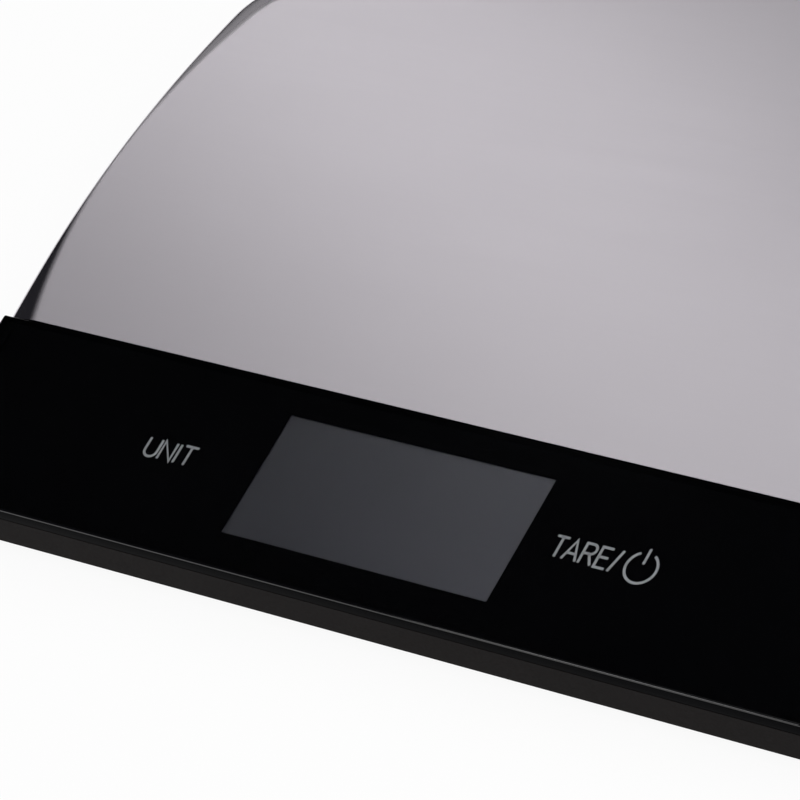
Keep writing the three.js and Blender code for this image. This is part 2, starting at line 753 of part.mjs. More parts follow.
function touchSpring(x) {
  const points = [];
  const perTurn = 9;
  const z0 = boardTopZ + seamGap + keySpringWire;
  const z1 = filmZ - seamGap - keySpringWire;
  for (let i = 0; i <= keySpringTurns * perTurn; i += 1) {
    const t = i / (keySpringTurns * perTurn);
    const a = 2 * Math.PI * keySpringTurns * t;
    const r = keySpringRadius * (0.7 + 0.3 * t);
    points.push([x + r * Math.cos(a), keyY + r * Math.sin(a), z0 + (z1 - z0) * t]);
  }
  return tube(points, keySpringWire, 3, keySpringTurns * perTurn);
}

// ---- Battery and its contacts ----
function battery() {
  return turned([
    [0, batteryZ],
    [batteryRadius - 0.3, batteryZ],
    [batteryRadius, batteryZ + 0.3],
    [batteryRadius, batteryZ + batteryHeight - 0.9],
    [batteryRadius - 0.9, batteryZ + batteryHeight - 0.3],
    [batteryRadius - 1.3, batteryZ + batteryHeight - 0.3],
    [batteryRadius - 1.3, batteryZ + batteryHeight],
    [0, batteryZ + batteryHeight],
  ], batteryX, batteryY, 32);
}

function stripAlongX(outline, width, x) {
  const shape = new THREE.Shape(outline.map(([y, z]) => new THREE.Vector2(y, z)));
  const geometry = new THREE.ExtrudeGeometry(shape, { depth: width, bevelEnabled: false });
  geometry.rotateX(Math.PI / 2);
  geometry.rotateZ(Math.PI / 2);
  geometry.translate(x - width / 2, 0, 0);
  return solid(geometry);
}

function positiveContact() {
  const face = batteryY - batteryRadius - seamGap;
  const low = bayBlockTop + seamGap;
  const t = contactThickness;
  return stripAlongX([
    [face - t, low + t],
    [face - t - 3, low + t],
    [face - t - 3, low],
    [face - t, low],
    [face - t, batteryZ + 0.4],
    [face, batteryZ + 0.4],
    [face, bayTopZ],
    [face - t, bayTopZ],
  ], contactWidth, batteryX);
}

function negativeContact() {
  const z = bayTopZ + seamGap;
  const end = bayRadius + bayWall;
  const t = contactThickness;
  return stripAlongX([
    [batteryY - end - 2, z],
    [batteryY - 4, z],
    [batteryY - 2, z - seamGap],
    [batteryY + 2, z - seamGap],
    [batteryY + 4, z],
    [batteryY + end, z],
    [batteryY + end, z + t],
    [batteryY + 4, z + t],
    [batteryY + 2, z + t - seamGap],
    [batteryY - 2, z + t - seamGap],
    [batteryY - 4, z + t],
    [batteryY - end - 2, z + t],
  ], contactWidth, batteryX);
}

// ---- Screws ----
function screw(x, y, headZ, length) {
  const body = turned([
    [0, headZ],
    [screwHeadRadius - 0.5, headZ],
    [screwHeadRadius, headZ + 0.5],
    [screwHeadRadius, headZ + screwHeadHeight],
    [screwShankRadius, headZ + screwHeadHeight],
    [screwShankRadius, headZ + length - 0.8],
    [screwShankRadius * 0.45, headZ + length],
    [0, headZ + length],
  ], x, y, 12);
  const slot = 0.3;
  const reach = 1.3;
  const cross = box(x - reach, x + reach, y - slot, y + slot, headZ - 1, headZ + 0.6)
    .add(box(x - slot, x + slot, y - reach, y + reach, headZ - 1, headZ + 0.6));
  return body.subtract(cross);
}

// ---- Assembly ----
addPiece('steel_plate', steelPlate(), steel);
addPiece('glass_panel', glassPanel(), glass);
addPiece('print_film', printFilm(), filmInk);
addPiece('upper_housing', upperHousing(), bodyPlastic);
addPiece('bottom_cover', bottomCover(), bodyPlastic);
addPiece('battery_door', batteryDoor(), bodyPlastic);
addPiece('lcd_panel', lcdPanel(), display);
addPiece('lcd_frame', lcdFrame(), bodyPlastic);
addPiece('light_guide', lightGuide(), guidePlastic);
addPiece('zebra_strip', zebraStrip(), rubber);
addPiece('main_board', mainBoard(), boardGreen);
addPiece('controller_chip', controllerChip(), epoxy);
addPiece('unit_key_spring', touchSpring(keyLeftX), springSteel);
addPiece('tare_key_spring', touchSpring(keyRightX), springSteel);
addPiece('battery', battery(), springSteel);
addPiece('battery_contact_positive', positiveContact(), brass);
addPiece('battery_contact_negative', negativeContact(), brass);

for (const [corner, [x, y]] of Object.entries(feet)) {
  addPiece(`foot_cup_${corner}`, footCup(x, y), bodyPlastic);
  addPiece(`foot_pad_${corner}`, footPad(x, y), rubber);
  addPiece(`load_cell_${corner}`, loadCell(x, y), steel);
  addPiece(`strain_gauge_${corner}`, strainGauge(x, y), silicone);
}

const boardBack = boardY + boardDepth / 2 + seamGap;
const leadZ = boardZ + boardThickness / 2;
for (const side of [-1, 1]) {
  const name = side < 0 ? 'left' : 'right';
  const gaugeReach = gaugeOffset + gaugeLength / 2 + seamGap;
  const start = side * (frontFootX - gaugeReach);
  const gaugeZ = cellZ - seamGap - gaugeThickness / 2;
  const end = side * (boardWidth / 2 + seamGap);
  const front = [
    [start, frontFootY, gaugeZ],
    [(start + end) / 2, frontFootY + leadSwing / 2, (gaugeZ + leadZ) / 2],
    [end, frontFootY + leadSwing, leadZ],
  ];
  addPiece(`cell_lead_front_${name}`, tube(front, leadRadius, leadSides / 2, 6), leadGrey);
  const rear = [
    [side * (rearFootX - gaugeReach), rearFootY, gaugeZ],
    [side * (rearFootX - gaugeReach - leadTurn), rearFootY - leadSwing, leadZ],
    [side * (laneX + laneSwing), batteryY - laneStart, leadZ],
    [side * laneX, seamY + laneEnd, leadZ],
    [side * laneX, boardBack + leadStraight, leadZ],
    [side * laneX, boardBack, leadZ],
  ];
  addPiece(`cell_lead_rear_${name}`, tube(rear, leadRadius, leadSides / 2, 20), leadGrey);
}
const tabY = batteryY - batteryRadius - 3.6 - 2 * seamGap;
const positive = [
  [-2, tabY, bayBlockTop + 0.8],
  [-batteryLaneX + leadSwing, seamY + batteryLaneStart, leadZ + batteryLeadRadius],
  [-batteryLaneX, seamY + batteryLaneEnd, leadZ],
  [-batteryLaneX, boardBack + leadStraight, leadZ],
  [-batteryLaneX, boardBack, leadZ],
];
addPiece('battery_lead_positive', tube(positive, batteryLeadRadius, leadSides / 2, 14), leadRed);
const negativeY = batteryY - bayRadius - bayWall - 2 - seamGap;
const negative = [
  [2, negativeY, bayTopZ + 0.45],
  [batteryLaneX - leadSwing / 2, seamY + batteryLaneStart, (bayTopZ + leadZ) / 2],
  [batteryLaneX, seamY + batteryLaneEnd, leadZ],
  [batteryLaneX, boardBack + leadStraight, leadZ],
  [batteryLaneX, boardBack, leadZ],
];
addPiece('battery_lead_negative', tube(negative, batteryLeadRadius, leadSides / 2, 14), leadBlack);

coverScrews.forEach(([x, y], i) => {
  addPiece(`cover_screw_${i + 1}`, screw(x, y, bodyStand + screwSink / 2, screwLength), springSteel);
});
for (const side of [-1, 1]) {
  const name = side < 0 ? 'left' : 'right';
  const headZ = boardZ - seamGap - screwHeadHeight;
  const body = screw(side * boardScrewX, boardPostY, headZ, boardScrewLength);
  addPiece(`board_screw_${name}`, body, springSteel);
}

export default group;
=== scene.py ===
import json
import math
import bmesh
import bpy
from mathutils import Matrix, Vector


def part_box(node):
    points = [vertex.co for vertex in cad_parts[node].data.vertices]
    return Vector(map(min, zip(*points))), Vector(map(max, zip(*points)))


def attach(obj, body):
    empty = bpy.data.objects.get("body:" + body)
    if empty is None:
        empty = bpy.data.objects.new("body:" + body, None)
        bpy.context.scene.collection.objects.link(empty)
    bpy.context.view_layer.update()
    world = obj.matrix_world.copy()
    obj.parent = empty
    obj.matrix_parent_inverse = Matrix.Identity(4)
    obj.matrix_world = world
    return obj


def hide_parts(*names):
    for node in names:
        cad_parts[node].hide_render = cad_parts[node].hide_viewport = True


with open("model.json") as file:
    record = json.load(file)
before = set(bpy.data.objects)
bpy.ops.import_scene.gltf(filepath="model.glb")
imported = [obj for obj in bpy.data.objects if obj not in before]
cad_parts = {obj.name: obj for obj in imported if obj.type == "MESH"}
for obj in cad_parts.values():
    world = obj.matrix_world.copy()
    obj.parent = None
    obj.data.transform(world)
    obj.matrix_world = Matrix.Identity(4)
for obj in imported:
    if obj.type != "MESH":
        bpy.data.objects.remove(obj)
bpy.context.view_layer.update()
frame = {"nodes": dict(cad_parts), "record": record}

MM = 0.001

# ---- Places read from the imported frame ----
glass_low, glass_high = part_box("glass_panel")
plate_low, plate_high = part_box("steel_plate")
body_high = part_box("upper_housing")[1]
film_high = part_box("print_film")[1]
lcd_low, lcd_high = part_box("lcd_panel")
top_z = glass_high.z
half_w = body_high.x
half_d = body_high.y
seam_y = (glass_high.y + plate_low.y) / 2
strip_y = (-half_d + seam_y) / 2
plate_inset = half_w - plate_high.x

# ---- Outline of the body, which the plate's edge follows ----
side_bow_start = 12 * MM  # behind the seam
side_bow_radius = 280 * MM
back_bow_radius = 158 * MM
corner_reach = 6.5 * MM
side_steps = 30
turn_steps = 12
back_steps = 30

# ---- Steel plate: the flat field inside its flanks ----
field_half = 97.3 * MM
field_side_radius = 92 * MM
field_side_centre = 30 * MM  # behind the seam
field_corner_reach = 5 * MM
rear_flank = 5.5 * MM

# ---- Steel plate: its section from the edge to the field ----
plate_slope = 0.22
underside_slope = 0.32
plate_thickness = 0.8 * MM
roll_share = 0.35  # how much the flank steepens towards its edge
field_soft = 0.5 * MM  # radius with which the flank leaves the field
rim_width = 1.0 * MM
rim_drop = 0.25 * MM
rim_rings = 10
flank_rings = (0.08, 0.18, 0.3, 0.43, 0.56, 0.68, 0.79, 0.88, 0.94, 1.0, 1.06, 1.14)
plate_sharp_angle = 30

# ---- Glass strip ----
glass_front_radius = 6 * MM
glass_back_radius = 0.5 * MM
least_radius = 0.1 * MM
glass_arris = 0.4 * MM
arris_steps = 4
back_arris_share = 0.3
printed_border = 1.6 * MM
front_corner_steps = 16
back_corner_steps = 6
glass_sharp_angle = 40

# ---- Key legends ----
legend_low = film_high.z + 0.1 * MM
legend_thick = 0.05 * MM
stroke_width = 0.48 * MM
least_miter = 0.5
letter_gap = 0.19
close_pairs = {"TA": 0.13, "AR": 0.02}
power_gap = 56  # degrees left open at the top of the ring
power_ring_steps = 48
power_stem = (1.28, 0.25)  # ends of the stem, in radii above the ring's centre
print_sharp_angle = 30

# ---- Foot pads: from the middle out, as shares of the radius and of the groove's depth ----
pad_groove_depth = 0.25 * MM
pad_face = ((0, 1), (0.42, 1), (0.46, 0), (0.60, 0), (0.64, 1), (0.74, 1), (0.78, 0))
pad_edge = ((0.7, 0), (0.3, 0.12), (0.08, 0.36), (0, 0.7))  # mm in from the edge, mm up
pad_sides = 72
pad_sharp_angle = 40


# ---- Mesh helpers ----
def add_object(name, mesh):
    collection = bpy.data.collections.get("pieces")
    if collection is None:
        collection = bpy.data.collections.new("pieces")
        bpy.context.scene.collection.children.link(collection)
    obj = bpy.data.objects.new(name, mesh)
    collection.objects.link(obj)
    return obj


def mesh_from(name, bm, sharp_angle):
    """Turns a bmesh into a smooth-shaded object that is sharp at steeper edges."""
    mesh = bpy.data.meshes.new(name)
    bmesh.ops.recalc_face_normals(bm, faces=bm.faces)
    bm.to_mesh(mesh)
    bm.free()
    for polygon in mesh.polygons:
        polygon.use_smooth = True
    obj = add_object(name, mesh)
    mesh.set_sharp_from_angle(angle=math.radians(sharp_angle))
    return obj


def bridge(bm, lower, upper, closed=False):
    """Four-sided faces between two rows of as many points."""
    faces = []
    for i in range(len(lower) if closed else len(lower) - 1):
        j = (i + 1) % len(lower)
        faces.append(bm.faces.new((lower[i], lower[j], upper[j], upper[i])))
    return faces


def arc_points(cx, cy, rx, ry, start, stop, steps):
    """Points on an arc of a circle or an ellipse, from one angle to another."""
    angles = [math.radians(start + (stop - start) * i / steps) for i in range(steps + 1)]
    return [(cx + rx * math.cos(a), cy + ry * math.sin(a)) for a in angles]


# ---- Node helpers ----
noise_low, noise_high = 0.3, 0.7  # where most of a noise texture's values lie


def new_material(name):
    material = bpy.data.materials.new(name)
    material.use_nodes = True
    tree = material.node_tree
    return material, tree, tree.nodes["Principled BSDF"]


def add_node(tree, kind, **inputs):
    node = tree.nodes.new(kind)
    for key, value in inputs.items():
        node.inputs[key.replace("_", " ")].default_value = value
    return node


def object_coordinates(tree, scale=(1, 1, 1)):
    coordinates = tree.nodes.new("ShaderNodeTexCoord")
    mapping = add_node(tree, "ShaderNodeMapping", Scale=scale)
    tree.links.new(coordinates.outputs["Object"], mapping.inputs["Vector"])
    return mapping.outputs["Vector"]


def object_axis(tree, axis):
    coordinates = tree.nodes.new("ShaderNodeTexCoord")
    split = tree.nodes.new("ShaderNodeSeparateXYZ")
    tree.links.new(coordinates.outputs["Object"], split.inputs["Vector"])
    return split.outputs[axis]


def noise(tree, vector, scale, detail=4, roughness=0.5):
    node = add_node(tree, "ShaderNodeTexNoise", Scale=scale, Detail=detail, Roughness=roughness)
    tree.links.new(vector, node.inputs["Vector"])
    return node.outputs["Fac"]


def ramp(tree, value, low, high, low_at=noise_low, high_at=noise_high):
    node = tree.nodes.new("ShaderNodeValToRGB")
    ends = node.color_ramp.elements
    for end, place, colour in ((ends[0], low_at, low), (ends[1], high_at, high)):
        end.position = place
        end.color = (*colour, 1)
    tree.links.new(value, node.inputs["Fac"])
    return node.outputs["Color"]


def spread(tree, value, low, high, low_at=noise_low, high_at=noise_high):
    node = add_node(
        tree, "ShaderNodeMapRange", From_Min=low_at, From_Max=high_at, To_Min=low, To_Max=high)
    tree.links.new(value, node.inputs["Value"])
    return node.outputs["Result"]


def bump(tree, shader, value, strength, distance):
    node = add_node(tree, "ShaderNodeBump", Strength=strength, Distance=distance)
    tree.links.new(value, node.inputs["Height"])
    tree.links.new(node.outputs["Normal"], shader.inputs["Normal"])


# ---- Materials ----
cloud_ratio = 40  # how much broader a finish's clouds of tone are than its grain
grain_depth = 0.05 * MM


def finish_material(name, low, high, rough, grain, metallic=0.0, specular=0.5, bump_by=0.1):
    """A moulded or metal surface whose tone and roughness drift with a fine grain."""
    material, tree, shader = new_material(name)
    vector = object_coordinates(tree)
    fine = noise(tree, vector, grain)
    broad = noise(tree, vector, grain / cloud_ratio)
    tree.links.new(ramp(tree, broad, low, high), shader.inputs["Base Color"])
    tree.links.new(spread(tree, fine, *rough), shader.inputs["Roughness"])
    shader.inputs["Metallic"].default_value = metallic
    shader.inputs["Specular IOR Level"].default_value = specular
    bump(tree, shader, fine, bump_by, grain_depth)
    return material


def brushed_steel():
    """Steel brushed along X on the field, and polished where the flanks fall away."""
    streak_scale = (25, 5200, 800)
    cloud_scale = 9.0
    darker, lighter = (0.56, 0.531, 0.568), (0.60, 0.571, 0.608)
    field_roughness = (0.40, 0.44)
    flank_roughness = 0.13
    flank_from, flank_to = 0.02 * MM, 0.25 * MM  # fall below the field
    streak_bump, streak_depth = 0.03, 0.008 * MM
    anisotropy = 0.6

    material, tree, shader = new_material("brushed_plate_look")
    streaks = noise(tree, object_coordinates(tree, streak_scale), 1.0, detail=5, roughness=0.6)
    cloud = noise(tree, object_coordinates(tree), cloud_scale, detail=2)
    tangent = tree.nodes.new("ShaderNodeTangent")
    tangent.direction_type = "UV_MAP"
    tree.links.new(tangent.outputs["Tangent"], shader.inputs["Tangent"])
    tree.links.new(ramp(tree, cloud, darker, lighter), shader.inputs["Base Color"])
    on_flank = spread(tree, object_axis(tree, "Z"), 0, 1, top_z - flank_from, top_z - flank_to)
    both = add_node(tree, "ShaderNodeMix", B=flank_roughness)
    tree.links.new(on_flank, both.inputs["Factor"])
    tree.links.new(spread(tree, streaks, *field_roughness), both.inputs["A"])
    tree.links.new(both.outputs["Result"], shader.inputs["Roughness"])
    shader.inputs["Metallic"].default_value = 1.0
    shader.inputs["Anisotropic"].default_value = anisotropy
    bump(tree, shader, streaks, streak_bump, streak_depth)
    return material


def clear_glass():
    smear_scale = 30.0
    darker, lighter = (0.90, 0.92, 0.93), (0.93, 0.95, 0.96)
    roughness = (0.02, 0.04)
    refraction = 1.25  # lower than real glass, so that the strip stays dark
    material, tree, shader = new_material("panel_glass_look")
    smear = noise(tree, object_coordinates(tree), smear_scale, detail=2)
    tree.links.new(ramp(tree, smear, darker, lighter), shader.inputs["Base Color"])
    tree.links.new(spread(tree, smear, *roughness), shader.inputs["Roughness"])
    shader.inputs["Transmission Weight"].default_value = 1.0
    shader.inputs["IOR"].default_value = refraction
    return material


def glass_edge(name, specular):
    """The black-backed border of the glass, seen through its edge."""
    smear_scale = 60.0
    darker, lighter = (0.0016, 0.0016, 0.0020), (0.0024, 0.0024, 0.0030)
    roughness = (0.06, 0.10)
    material, tree, shader = new_material(name)
    smear = noise(tree, object_coordinates(tree), smear_scale, detail=2)
    tree.links.new(ramp(tree, smear, darker, lighter), shader.inputs["Base Color"])
    tree.links.new(spread(tree, smear, *roughness), shader.inputs["Roughness"])
    shader.inputs["Specular IOR Level"].default_value = specular
    return material


def display_face():
    """The unlit display, whose grey grows lighter from left to right as a painted reflection of
    the light.
    """
    left_tone_least_sheen, right_tone_painted_sheen = (0.033, 0.032, 0.0385), (0.067, 0.0645, 0.077)
    roughness, specular = 0.35, 0.3
    material, tree, shader = new_material("display_grey_painted_sheen_look")
    # Painted reflection: the grey is lightened towards the right end, where the display's sheen
    # would catch the light.
    painted_sheen_share = spread(tree, object_axis(tree, "X"), 0, 1, lcd_low.x, lcd_high.x)
    tone = ramp(tree, painted_sheen_share, left_tone_least_sheen, right_tone_painted_sheen, 0.0, 1.0)
    tree.links.new(tone, shader.inputs["Base Color"])
    shader.inputs["Roughness"].default_value = roughness
    shader.inputs["Specular IOR Level"].default_value = specular
    return material


# Each finish: its darker and lighter tone, its range of roughness, its grain, other values.
finishes = {
    "panel_print": (
        (0.0003, 0.0003, 0.0005), (0.0005, 0.0005, 0.0009), (0.5, 0.6), 300,
        {"specular": 0.005}),
    "body_black": (
        (0.0072, 0.0058, 0.0056), (0.0095, 0.0077, 0.0075), (0.42, 0.55), 2600,
        {"specular": 0.01, "bump_by": 0.25}),
    "rubber_black": (
        (0.010, 0.010, 0.010), (0.016, 0.016, 0.015), (0.75, 0.9), 1500,
        {"specular": 0.2, "bump_by": 0.4}),
    "guide_white": ((0.72, 0.72, 0.68), (0.80, 0.80, 0.77), (0.25, 0.35), 400, {}),
    "board_green": ((0.010, 0.085, 0.028), (0.014, 0.115, 0.040), (0.3, 0.45), 900, {}),
    "bright_steel": (
        (0.50, 0.50, 0.48), (0.60, 0.60, 0.58), (0.18, 0.3), 900,
        {"metallic": 1.0, "bump_by": 0.05}),
    "contact_brass": (
        (0.52, 0.36, 0.12), (0.62, 0.45, 0.18), (0.2, 0.35), 900,
        {"metallic": 1.0, "bump_by": 0.05}),
    "epoxy_black": ((0.006, 0.006, 0.006), (0.012, 0.012, 0.012), (0.1, 0.25), 600, {}),
    "silicone_white": ((0.75, 0.75, 0.72), (0.85, 0.85, 0.82), (0.4, 0.6), 700, {}),
    "cell_steel": (
        (0.42, 0.42, 0.43), (0.48, 0.48, 0.49), (0.30, 0.36), 2500,
        {"metallic": 1.0, "bump_by": 0.02}),
    "lead_red": ((0.33, 0.010, 0.010), (0.42, 0.015, 0.015), (0.4, 0.55), 700, {}),
    "lead_black": ((0.008, 0.008, 0.008), (0.014, 0.014, 0.014), (0.4, 0.55), 700, {}),
    "lead_grey": ((0.22, 0.22, 0.22), (0.30, 0.30, 0.30), (0.4, 0.55), 700, {}),
    "legend_print": (
        (0.36, 0.36, 0.37), (0.44, 0.44, 0.45), (0.5, 0.6), 900,
        {"specular": 0.1, "bump_by": 0.0}),
}
looks = {
    "brushed_plate": brushed_steel(),
    "panel_glass": clear_glass(),
    "display_grey": display_face(),
    "panel_edge": glass_edge("panel_edge_look", 0.003),
    "panel_arris": glass_edge("panel_arris_look", 0.5),
}
for finish_name, (darker_tone, lighter_tone, rough, grain, others) in finishes.items():
    looks[finish_name] = finish_material(
        finish_name + "_look", darker_tone, lighter_tone, rough, grain, **others)


def dress(obj, slot_name):
    obj.data.materials.clear()
    obj.data.materials.append(looks[slot_name])


slot_of = {row["node"]: row["material_slot"] for row in frame["record"]["subparts"]}
for node_name, node_object in frame["nodes"].items():
    dress(node_object, slot_of[node_name])


# ---- Steel plate: a flat field, flanks that fall away and a rim turned down ----
def side_at(y):
    t = max(0.0, y - seam_y - side_bow_start)
    return half_w - t * t / (2 * side_bow_radius)


def back_at(x):
    return half_d - x * x / (2 * back_bow_radius)


def field_side_at(y):
    t = y - seam_y - field_side_centre
    return field_half - t * t / (2 * field_side_radius)


def field_back_at(x):
    return back_at(x) - rear_flank


def half_chain(side, back, reach, front_y):
    """Points from the front edge up the right side and round the corner to the back's middle."""
    corner_x = half_w
    for _ in range(20):  # closes in on where the side meets the back
        corner_x = side(back(corner_x))
    corner_y = back(corner_x)
    chain = []
    end_y = corner_y - reach
    for i in range(side_steps + 1):
        y = front_y + (end_y - front_y) * i / side_steps
        chain.append(Vector((side(y), y)))
    start = chain[-1]
    back_x = corner_x - reach
    stop = Vector((back_x, back(back_x)))
    corner = Vector((corner_x, corner_y))
    for i in range(1, turn_steps + 1):
        t = i / turn_steps
        chain.append(start * (1 - t) ** 2 + corner * (2 * t * (1 - t)) + stop * t * t)
    for i in range(1, back_steps + 1):
        x = back_x * (1 - i / back_steps)
        chain.append(Vector((x, back(x))))
    return chain


def full_chain(half):
    return half + [Vector((-p.x, p.y)) for p in reversed(half[:-1])]


def steel_plate():
    front_y = plate_low.y
    outer = full_chain(half_chain(
        lambda y: side_at(y) - plate_inset, lambda x: back_at(x) - plate_inset,
        corner_reach, front_y))
    inner = full_chain(half_chain(field_side_at, field_back_at, field_corner_reach, front_y))
    bm = bmesh.new()

    def row(depth_at):
        """One row of points round the plate, from each place's distance in and flank width."""
        points = []
        for p, q in zip(outer, inner):
            width = (p - q).length
            inset, fall = depth_at(width)
            place = p.lerp(q, inset / width)
            points.append(bm.verts.new((place.x, max(place.y, front_y), top_z - fall)))
        return points

    def upper_face(in_rim, in_flank):
        def depth_at(width):
            rim = min(rim_width, width / 2)
            inset = in_rim * rim + in_flank * (width - rim)
            left = max(0.0, width - inset)
            rolled = math.sqrt(left * left + field_soft * field_soft) - field_soft
            fall = plate_slope * rolled * (1 - roll_share + roll_share * left / width)
            to_rim = max(0.0, 1 - inset / rim_width)
            return inset, fall + rim_drop * to_rim * to_rim
        return depth_at

    def lower_face(share):
        def depth_at(width):
            return width * share, plate_thickness + underside_slope * width * (1 - share)
        return depth_at

    # The rim's rings keep their distance from the edge, and the others share the flank's width.
    steps = [(i / rim_rings, 0) for i in range(rim_rings + 1)]
    steps += [(1, share) for share in flank_rings]
    rings = [row(upper_face(*step)) for step in steps]
    below = [row(lower_face(share)) for share in (0, 1)]
    for a, b in list(zip(rings, rings[1:])) + [(below[0], rings[0]), (below[1], below[0])]:
        bridge(bm, a, b)
    bm.faces.new(rings[-1])
    bm.faces.new(below[1])
    right_end = [below[1][0], below[0][0]] + [ring[0] for ring in rings]
    left_end = [below[1][-1], below[0][-1]] + [ring[-1] for ring in rings]
    bm.faces.new(right_end + left_end[::-1])
    plan = bm.loops.layers.uv.new("plan")  # gives the brushing its direction
    for face in bm.faces:
        for loop in face.loops:
            x, y, _ = loop.vert.co
            loop[plan].uv = (x / (2 * half_w) + 0.5, y / (2 * half_w) + 0.5)
    piece = mesh_from("steel_plate_sheet", bm, plate_sharp_angle)
    dress(piece, "brushed_plate")
    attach(piece, "scale_body")
    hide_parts("steel_plate")


# ---- Glass strip: clear over the print, with a black border and a rounded arris ----
def strip_outline(inset, back_inset):
    """The strip's outline seen from above, drawn in from its edges."""
    left, right = glass_low.x + inset, glass_high.x - inset
    front, back = glass_low.y + inset, glass_high.y - back_inset
    wide = glass_front_radius - inset
    small = max(glass_back_radius - inset, least_radius)
    corners = (
        (right - wide, front + wide, wide, -90, front_corner_steps),
        (right - small, back - small, small, 0, back_corner_steps),
        (left + small, back - small, small, 90, back_corner_steps),
        (left + wide, front + wide, wide, 180, front_corner_steps),
    )
    points = []
    for x, y, radius, start, steps in corners:
        points += arc_points(x, y, radius, radius, start, start + 90, steps)
    return points


def glass_strip():
    bm = bmesh.new()

    def ring(z, inset, back_inset):
        return [bm.verts.new((x, y, z)) for x, y in strip_outline(inset, back_inset)]

    clear, border, arris = 0, 1, 2
    rings = [ring(glass_low.z, printed_border, printed_border), ring(glass_low.z, 0, 0)]
    for i in range(arris_steps + 1):
        a = math.radians(90 * i / arris_steps)
        inset = glass_arris * (1 - math.cos(a))
        z = glass_high.z - glass_arris * (1 - math.sin(a))
        rings.append(ring(z, inset, inset * back_arris_share))
    materials = [border, border] + [arris] * arris_steps
    for a, b, material_index in zip(rings, rings[1:], materials):
        for face in bridge(bm, a, b, closed=True):
            face.material_index = material_index
    bm.faces.new(rings[0]).material_index = clear
    bm.faces.new(rings[-1]).material_index = clear
    piece = mesh_from("glass_strip", bm, glass_sharp_angle)
    for polygon in piece.data.polygons:
        polygon.use_smooth = len(polygon.vertices) == 4  # the broad faces stay flat
    for look in ("panel_glass", "panel_edge", "panel_arris"):
        piece.data.materials.append(looks[look])
    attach(piece, "scale_body")
    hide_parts("glass_panel")


# ---- Key legends: plain strokes printed between the film and the glass ----
def stroke(bm, points):
    """A flat band of one width along the points, with mitred corners."""
    left, right = [], []
    for i, p in enumerate(points):
        before = points[i - 1] if i > 0 else None
        after = points[i + 1] if i < len(points) - 1 else None
        d1 = (p - before).normalized() if before is not None else None
        d2 = (after - p).normalized() if after is not None else None
        d1 = d1 or d2
        d2 = d2 or d1
        n = Vector((-(d1.y + d2.y), d1.x + d2.x)).normalized()
        cosine = max(least_miter, n.dot(Vector((-d1.y, d1.x))))
        offset = n * (stroke_width / 2 / cosine)
        left.append(p + offset)
        right.append(p - offset)
    layers = []
    for z in (legend_low, legend_low + legend_thick):
        layers.append([[bm.verts.new((*v, z)) for v in side] for side in (left, right)])
    (l0, r0), (l1, r1) = layers
    for a, b in ((r0, l0), (l1, r1), (l0, l1), (r1, r0)):
        bridge(bm, a, b)
    bm.faces.new((l0[0], r0[0], r1[0], l1[0]))
    bm.faces.new((l0[-1], l1[-1], r1[-1], r0[-1]))


def print_piece(name, bm):
    piece = mesh_from(name, bm, print_sharp_angle)
    dress(piece, "legend_print")
    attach(piece, "scale_body")


# Each letter is drawn in a box one unit high: its strokes and its width.
bowl_of_u = arc_points(0.34, 0.33, 0.34, 0.33, 180, 360, 10)[1:]
bowl_of_r = arc_points(0.4, 0.76, 0.26, 0.24, 90, -90, 10)[1:]
letters = {
    "U": ([[(0, 1), (0, 0.33)] + bowl_of_u + [(0.68, 1)]], 0.68),
    "N": ([[(0, 0), (0, 1), (0.68, 0), (0.68, 1)]], 0.68),
    "I": ([[(0.05, 0), (0.05, 1)]], 0.1),
    "T": ([[(0, 1), (0.72, 1)], [(0.36, 1), (0.36, 0)]], 0.72),
    "A": ([[(0, 0), (0.4, 1), (0.8, 0)], [(0.14, 0.34), (0.66, 0.34)]], 0.8),
    "R": ([[(0, 0), (0, 1), (0.4, 1)] + bowl_of_r + [(0, 0.52)], [(0.36, 0.52), (0.7, 0)]], 0.7),
    "E": ([[(0.62, 0), (0, 0), (0, 1), (0.62, 1)], [(0, 0.52), (0.56, 0.52)]], 0.62),
    "/": ([[(0, -0.05), (0.36, 1.05)]], 0.36),
}


# Each word: its text, its left end, how far its middle is behind the strip's, its height and
# how much its letters are widened.
key_words = {
    "legend_unit": ("UNIT", -55.6 * MM, 1.5 * MM, 3.8 * MM, 1.05),
    "legend_tare": ("TARE/", 32.9 * MM, 2.2 * MM, 4.0 * MM, 0.86),
}
power_x, power_behind, power_radius = 50.9 * MM, 2.1 * MM, 3.0 * MM


def legend(name, text, left_x, behind, height, widen):
    bm = bmesh.new()
    x = left_x
    base = strip_y + behind - height / 2
    for i, letter in enumerate(text):
        x -= close_pairs.get(text[i - 1:i + 1], 0) * height
        strokes, width = letters[letter]
        for points in strokes:
            stroke(bm, [
                Vector((x + px * widen * height, base + py * height)) for px, py in points])
        x += (width * widen + letter_gap) * height
    print_piece(name, bm)


def power_symbol(name, centre_x, centre_y, radius):
    bm = bmesh.new()
    start, stop = 90 + power_gap / 2, 450 - power_gap / 2
    ring = arc_points(centre_x, centre_y, radius, radius, start, stop, power_ring_steps)
    stroke(bm, [Vector(p) for p in ring])
    stroke(bm, [Vector((centre_x, centre_y + radius * share)) for share in power_stem])
    print_piece(name, bm)


